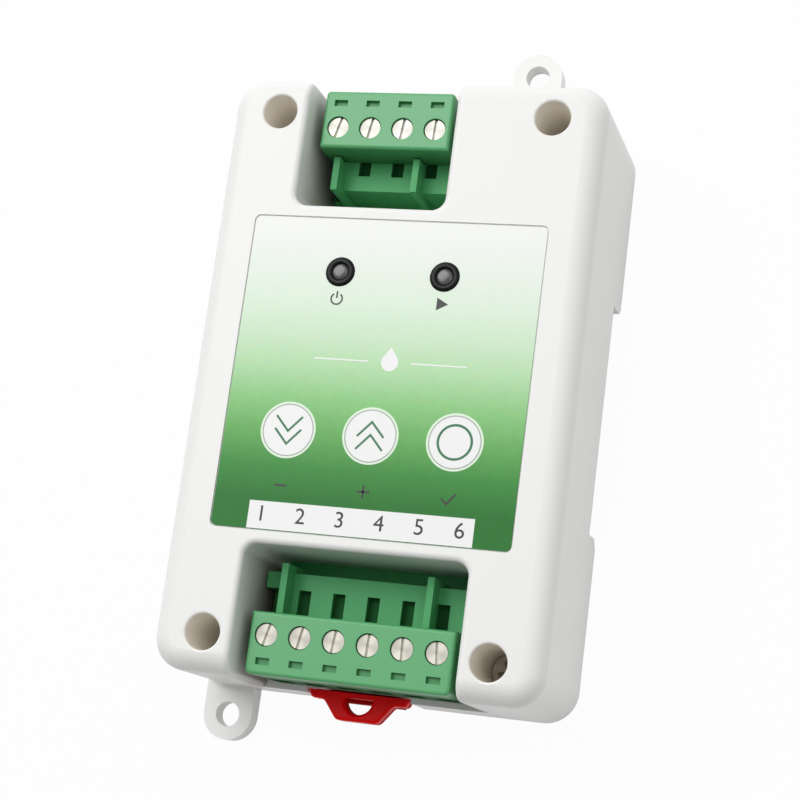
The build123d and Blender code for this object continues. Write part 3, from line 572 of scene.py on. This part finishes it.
holder_black = moulded_plastic("holder_black", paint(10, 11, 11), 0.3, gloss=0.22)
dress(holder_black, "power_led_holder", "work_led_holder")
lamp_resin = moulded_plastic("lamp_resin", paint(66, 68, 66), 0.26, grain=0.05, mottle=0.1, coat=0.4)
dress(lamp_resin, "power_led", "work_led")
bore_gap = 0.00015
bore_depth = 0.005
tube_chamfer = 0.0001
mouth_rise = 0.00022
lens_rise = 0.0002
lens_sink = 0.0002
lens_gap = 0.00004
for name in ("power_led", "work_led"):
    low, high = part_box(name + "_holder")
    led_low, led_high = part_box(name)
    centre = middle(name + "_holder")
    outer = (high[0] - low[0]) / 2
    bore = (led_high[0] - led_low[0]) / 2 + bore_gap
    crown = (outer + bore) / 2
    bore_floor = led_high[2] - bore_depth
    mouth = quarter((outer, high[2] - mouth_rise), (crown, high[2]))
    tube = [(0, low[2]), (outer - tube_chamfer, low[2]), (outer, low[2] + tube_chamfer)]
    tube += mouth
    tube += [(2 * crown - reach, level) for reach, level in mouth[-2::-1]]
    tube += [(bore, bore_floor + tube_chamfer), (bore - tube_chamfer, bore_floor), (0, bore_floor)]
    holder = turned(name + "_tube", centre, tube, holder_black)
    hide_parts(name + "_holder")
    rim = bore - lens_gap
    lens = [(0, led_high[2] - lens_sink), (rim, led_high[2] - lens_sink)]
    lens += quarter((rim, led_high[2]), (0, led_high[2] + lens_rise))
    turned(name + "_lens", centre, lens, lamp_resin)

# The keys' switches and plungers stand under the film on the board.
switch_black = moulded_plastic("switch_black", paint(30, 30, 32), 0.45)
dress(switch_black, "down_key_switch", "up_key_switch", "confirm_key_switch")
plunger_white = moulded_plastic("plunger_white", paint(225, 225, 220), 0.45)
dress(plunger_white, "down_key_plunger", "up_key_plunger", "confirm_key_plunger")

# The parts on the board: two sealed relays, a capacitor in its sleeve, black
# moulded chips and small ceramic resistors.
relay_blue = moulded_plastic("relay_blue", paint(38, 84, 150), 0.35)
dress(relay_blue, "alarm_relay", "control_relay")
sleeve_black = moulded_plastic("sleeve_black", paint(34, 38, 50), 0.3)
dress(sleeve_black, "smoothing_capacitor")
chip_black = moulded_plastic("chip_black", paint(34, 34, 34), 0.55)
dress(chip_black, "controller_chip", "driver_chip", "voltage_regulator", "flyback_diodes")
resistor_black = moulded_plastic("resistor_black", paint(28, 28, 30), 0.3)
dress(resistor_black, "chip_resistors")

# The film is printed polyester, glued into the shallow recess of the cover. Its
# ground runs from near white at the top to deep green at the bottom.
film_low, film_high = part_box("label_film")
film_print, nodes, links, output = blank_material("film_print")
film = nodes.new("ShaderNodeBsdfPrincipled")
place = nodes.new("ShaderNodeTexCoord")
split = nodes.new("ShaderNodeSeparateXYZ")
down_film = spread(nodes, film_low[1], film_high[1])
ground = nodes.new("ShaderNodeValToRGB")
ground.color_ramp.interpolation = "LINEAR"
stops = ground.color_ramp.elements
stops[0].position = 0.10
stops[0].color = paint(30, 116, 36)
stops[1].position = 0.96
stops[1].color = paint(244, 246, 243)
bands = (
    (0.20, (56, 140, 58)),
    (0.31, (102, 175, 92)),
    (0.42, (143, 204, 133)),
    (0.53, (184, 225, 176)),
    (0.62, (206, 233, 201)),
    (0.73, (224, 241, 221)),
)
for spot, shade in bands:
    stop = ground.color_ramp.elements.new(spot)
    stop.color = paint(*shade)
film_grain = noise(nodes, 900.0, 6.0)
speck = mixer(nodes, "OVERLAY")
speck.inputs["Factor"].default_value = 0.12
links.new(place.outputs["Object"], split.inputs[0])
links.new(split.outputs["Y"], down_film.inputs["Value"])
links.new(down_film.outputs["Result"], ground.inputs["Fac"])
links.new(place.outputs["Object"], film_grain.inputs["Vector"])
links.new(ground.outputs["Color"], speck.inputs["A"])
links.new(film_grain.outputs["Color"], speck.inputs["B"])
links.new(speck.outputs["Result"], film.inputs["Base Color"])
bumps(nodes, links, film_grain.outputs["Fac"], 0.15, film)
film.inputs["Roughness"].default_value = 0.42
film.inputs["Specular IOR Level"].default_value = 0.3
links.new(film.outputs[0], output.inputs["Surface"])
dress(film_print, "label_film")


# The film's overprint is a few hundredths of a millimetre of ink and clear gloss. Each
# key is a slightly raised pale disc with a white face, a thin ring and a green sign.
def ink(name, shade, roughness=0.4):
    """Screen ink: a flat shade with faint mottling and uneven gloss."""
    return moulded_plastic(name, shade, roughness, grain=0.12, grain_size=5000.0, mottle=0.02)


def flat_disc(shape, centre, low, high, radius, inner=0.0, steps=64):
    """Add a thin disc, or a ring where inner is set, between two levels."""
    rings = []
    for level, reach in ((low, radius), (high, radius), (high, inner), (low, inner)):
        if reach > 0:
            ring = []
            for i in range(steps):
                turn = 2 * math.pi * i / steps
                place = (centre[0] + reach * math.cos(turn), centre[1] + reach * math.sin(turn), level)
                ring.append(shape.verts.new(place))
            rings.append(ring)
    for near, far in zip(rings, rings[1:] + (rings[:1] if inner > 0 else [])):
        for i in range(steps):
            shape.faces.new((near[i], near[(i + 1) % steps], far[(i + 1) % steps], far[i]))
    if inner == 0:
        shape.faces.new(rings[0])
        shape.faces.new(rings[1])


def prism(shape, outline, low, high):
    """Add an upright prism on this outline."""
    floor = [shape.verts.new((x, y, low)) for x, y in outline]
    roof = [shape.verts.new((x, y, high)) for x, y in outline]
    count = len(outline)
    shape.faces.new(floor[::-1])
    shape.faces.new(roof)
    for i in range(count):
        after = (i + 1) % count
        shape.faces.new((floor[i], floor[after], roof[after], roof[i]))


def stroke(shape, points, width, low, high):
    """Add a flat line of this width through the points, with mitred corners."""
    sides = ([], [])
    for i, point in enumerate(points):
        here = Vector(point)
        before = (here - Vector(points[i - 1])).normalized() if i > 0 else None
        after = (Vector(points[i + 1]) - here).normalized() if i < len(points) - 1 else None
        along = before if after is None else after if before is None else (before + after).normalized()
        across = Vector((-along.y, along.x))
        reach = width / 2
        if before is not None and after is not None:
            reach = reach / max(0.3, across.dot(Vector((-before.y, before.x))))
        sides[0].append(here + across * reach)
        sides[1].append(here - across * reach)
    outline = sides[0] + sides[1][::-1]
    prism(shape, [(place.x, place.y) for place in outline], low, high)


def printed(name, shape, material):
    """Finish a printed shape: clean its faces and let it ride on the case."""
    bmesh.ops.recalc_face_normals(shape, faces=shape.faces)
    piece = put_in_scene(name, shape, material)
    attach(piece, "case")
    return piece


mm = 0.001
film_top = film_high[2]
ink_white = ink("ink_white", paint(240, 241, 240))
ink_rim = ink("ink_rim", paint(226, 243, 222))
ink_grey = ink("ink_grey", paint(158, 168, 158))
ink_green = ink("ink_green", paint(30, 112, 70))
ink_black = ink("ink_black", paint(34, 38, 36))
ink_lift = 0.005 * mm
key_radius = 4.2 * mm
key_ring = 3.88 * mm
key_ring_width = 0.15 * mm
key_rise = 0.04 * mm
face_lift = 0.001 * mm
face_rise = 0.005 * mm
ring_lift = 0.003 * mm
sign_lift = 0.006 * mm
sign_rise = 0.02 * mm
sign_width = 0.32 * mm
chevron_half = 2.0 * mm
chevron_rise = 2.2 * mm
chevron_step = 1.9 * mm
confirm_ring = 2.65 * mm
confirm_ring_width = 0.36 * mm
key_top = film_top + key_rise
for name in ("down_key", "up_key", "confirm_key"):
    centre = middle(name + "_plunger")
    face_radius = key_ring - key_ring_width
    shape = bmesh.new()
    flat_disc(shape, centre, film_top + ink_lift, key_top, key_radius)
    printed(name + "_disc", shape, ink_rim)
    shape = bmesh.new()
    flat_disc(shape, centre, key_top + face_lift, key_top + face_rise, face_radius)
    printed(name + "_face", shape, ink_white)
    shape = bmesh.new()
    flat_disc(shape, centre, key_top + ring_lift, key_top + sign_rise, key_ring, face_radius)
    printed(name + "_ring", shape, ink_grey)
    shape = bmesh.new()
    sign_levels = (key_top + sign_lift, key_top + sign_rise)
    if name == "confirm_key":
        flat_disc(shape, centre, *sign_levels, confirm_ring, confirm_ring - confirm_ring_width)
    else:
        way = 1 if name == "up_key" else -1
        for step in (-0.5, 0.5):
            foot = centre[1] + step * chevron_step - way * chevron_rise / 2
            points = [
                (centre[0] - chevron_half, foot),
                (centre[0], foot + way * chevron_rise),
                (centre[0] + chevron_half, foot),
            ]
            stroke(shape, points, sign_width, *sign_levels)
    printed(name + "_sign", shape, ink_green)

# Small dark signs stand under the lamps and keys: power, run, less, more and done.
mark_rise = 0.02 * mm
mark_low = film_top + ink_lift
mark_high = film_top + mark_rise
mark_width = 0.3 * mm
thin_mark_width = 0.8 * mark_width
lamp_mark_y = 10.7 * mm
key_mark_y = -17.5 * mm
mark_reach = 0.95
power_reach = 0.85 * mm
power_start = 125
power_sweep = 290
power_steps = 24


def around(place, *offsets):
    """Points at these offsets in millimetres from a place on the film."""
    return [(place[0] + across * mm, place[1] + up * mm) for across, up in offsets]


def dark_sign(name, lines, width):
    """Print lines of one width in the dark ink."""
    shape = bmesh.new()
    for points in lines:
        stroke(shape, points, width, mark_low, mark_high)
    printed(name, shape, ink_black)


power_place = (middle("power_led")[0], lamp_mark_y)
arc = []
for i in range(power_steps + 1):
    turn = math.radians(power_start + power_sweep * i / power_steps)
    across = power_place[0] + power_reach * math.cos(turn)
    arc.append((across, power_place[1] + power_reach * math.sin(turn)))
bar = around(power_place, (0, 0.1), (0, 1.15))
dark_sign("power_mark", [arc, bar], thin_mark_width)
work_place = (middle("work_led")[0], lamp_mark_y)
shape = bmesh.new()
prism(shape, around(work_place, (-0.7, -0.95), (1.0, 0), (-0.7, 0.95)), mark_low, mark_high)
printed("work_mark", shape, ink_black)
less_place = (middle("down_key_plunger")[0], key_mark_y)
more_place = (middle("up_key_plunger")[0], key_mark_y)
done_place = (middle("confirm_key_plunger")[0], key_mark_y)
level_line = ((-mark_reach, 0), (mark_reach, 0))
upright_line = ((0, -mark_reach), (0, mark_reach))
tick = around(done_place, (-mark_reach, 0), (-0.2, -0.75), (1.1, 0.8))
dark_sign("less_mark", [around(less_place, *level_line)], mark_width)
plus = [around(more_place, *level_line), around(more_place, *upright_line)]
dark_sign("more_mark", plus, mark_width)
dark_sign("done_mark", [tick], mark_width)

# In the middle of the film a white drop stands between two fine white lines.
drop_x = 1.4 * mm
drop_y = 1.6 * mm
drop_radius = 1.3 * mm
drop_height = 3.6 * mm
drop_start = 150
drop_sweep = 240
drop_steps = 28
line_near = 3.2
line_far = 11.5
line_width = 0.2 * mm
shape = bmesh.new()
outline = [(drop_x, drop_y - drop_radius + drop_height)]
for i in range(drop_steps + 1):
    turn = math.radians(drop_start + drop_sweep * i / drop_steps)
    outline.append((drop_x + drop_radius * math.cos(turn), drop_y + drop_radius * math.sin(turn)))
prism(shape, outline, mark_low, mark_high)
for way in (-1, 1):
    ends = [(drop_x + way * line_near * mm, drop_y), (drop_x + way * line_far * mm, drop_y)]
    stroke(shape, ends, line_width, mark_low, mark_high)
printed("drop_mark", shape, ink_white)

# The marking strip at the foot of the film is white, with a plain number for each
# pole of the lower terminal.
strip_left = -16.75 * mm
strip_right = 16.8 * mm
strip_low = film_low[1] + 0.05 * mm
strip_high = -20.0 * mm
lower_poles = 6
number_height = 2.3 * mm
height_of_size = 0.7
number_y = -22.9 * mm
number_step = 5.9 * mm
number_thickness = 0.005 * mm
number_lift = 0.008 * mm
shape = bmesh.new()
corners = [
    (strip_left, strip_low),
    (strip_right, strip_low),
    (strip_right, strip_high),
    (strip_left, strip_high),
]
prism(shape, corners, mark_low, mark_high)
printed("marking_strip", shape, ink_white)
for i in range(lower_poles):
    letters = bpy.data.curves.new("number", "FONT")
    letters.body = str(i + 1)
    letters.size = number_height / height_of_size
    letters.align_x = "CENTER"
    letters.extrude = number_thickness
    sample = bpy.data.objects.new("number", letters)
    bpy.context.scene.collection.objects.link(sample)
    bpy.context.view_layer.update()
    mesh = bpy.data.meshes.new_from_object(sample)
    bpy.data.objects.remove(sample)
    shape = bmesh.new()
    shape.from_mesh(mesh)
    place = ((i - (lower_poles - 1) / 2) * number_step, number_y, mark_high + number_lift)
    bmesh.ops.translate(shape, verts=shape.verts, vec=place)
    printed("pole_number_" + str(i + 1), shape, ink_black)
